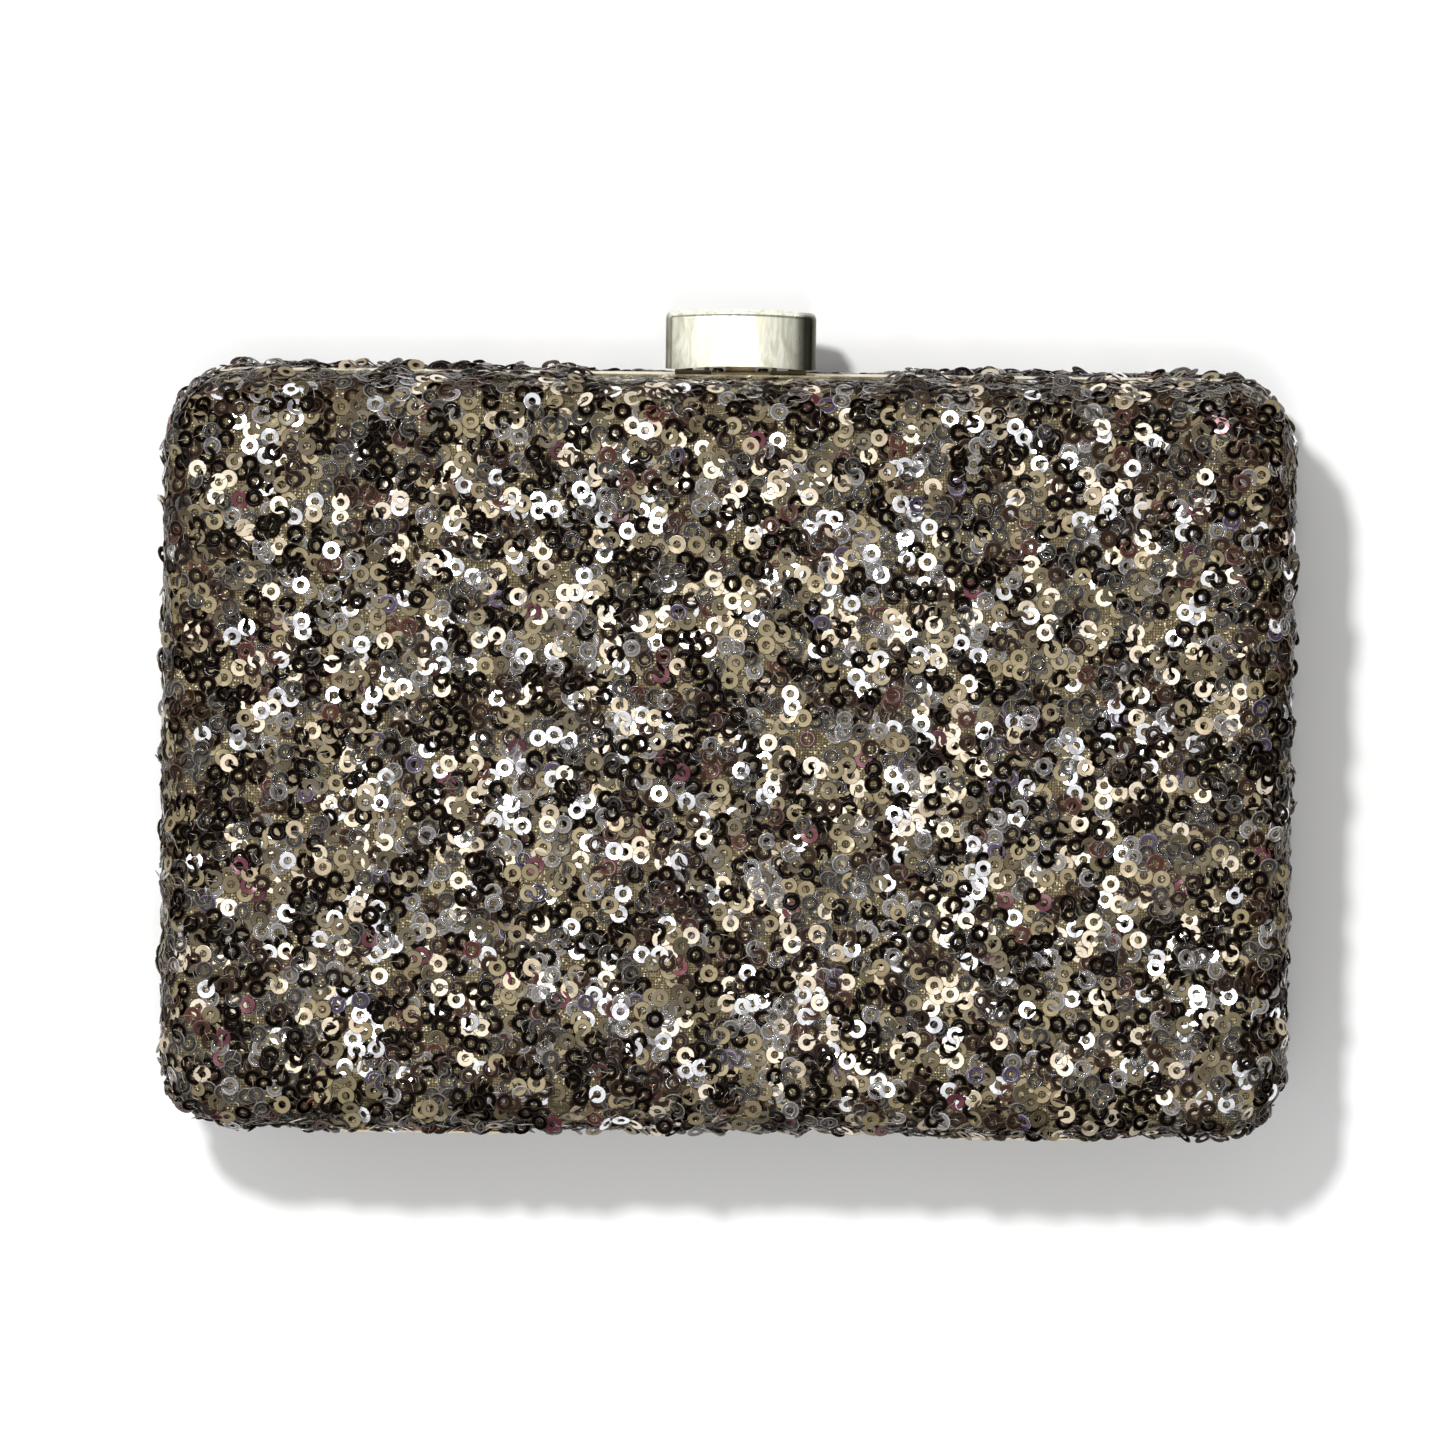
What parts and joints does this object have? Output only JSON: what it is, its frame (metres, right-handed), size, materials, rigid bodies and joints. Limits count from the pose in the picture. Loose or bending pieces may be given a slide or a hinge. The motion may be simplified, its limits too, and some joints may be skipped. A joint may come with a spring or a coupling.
{
  "type": "hard box evening clutch",
  "caption": "Hard box clutch in sequinned cloth, two lined halves in metal frames hinged along the lower edge, with a sprung tipping clasp on the top edge.",
  "frame": {"origin": "on the plane that the back lies on, under the middle of the whole bag", "axes": "+X along the width, +Y from the hinges towards the clasp, +Z out of the front face"},
  "size_m": [0.18, 0.1331, 0.044],
  "materials": {
    "sequin_cloth": "ring sequins on metallic mesh",
    "tray": "moulded",
    "lining": "satin",
    "gold_metal": "pale gold plate",
    "polished_gold": "polished pale gold plate",
    "steel": "spring steel"
  },
  "bodies": {
    "rear_half": {"chain_lug_left": "gold_metal", "chain_lug_right": "gold_metal", "clasp_base": "gold_metal", "clasp_base_rivets": "gold_metal", "clasp_spring": "steel", "hinge_pin_left": "gold_metal", "hinge_pin_right": "gold_metal", "hinge_rear_leaf_left": "gold_metal", "hinge_rear_leaf_right": "gold_metal", "hinge_rear_rivets": "gold_metal", "pocket_binding": "lining", "rear_cover": "sequin_cloth", "rear_frame": "gold_metal", "rear_lining": "lining", "rear_shell": "tray", "slip_pocket": "lining"},
    "lid": {"front_shell": "tray", "front_cover": "sequin_cloth", "front_lining": "lining", "front_frame": "gold_metal", "catch_tongue": "steel", "catch_rivets": "gold_metal", "hinge_front_rivets": "gold_metal", "hinge_front_leaf_left": "gold_metal", "hinge_front_leaf_right": "gold_metal"},
    "clasp_lever": {"clasp_cap": "polished_gold", "clasp_bracket": "gold_metal", "clasp_pin": "gold_metal"}
  },
  "joints": [
    {"name": "lid_hinge", "type": "hinge", "parent": "rear_half", "child": "lid", "pos_m": [0, -0.06525, 0.022], "axis": [1, 0, 0], "range_deg": [0, 95]},
    {"name": "clasp_tip", "type": "hinge", "parent": "rear_half", "child": "clasp_lever", "pos_m": [0.0015, 0.05945, 0.0188], "axis": [-1, 0, 0], "range_deg": [0, 35], "stiffness_Nm_per_rad": 0.01, "springref_deg": -34.38, "deforming": ["clasp_spring"]}
  ]
}
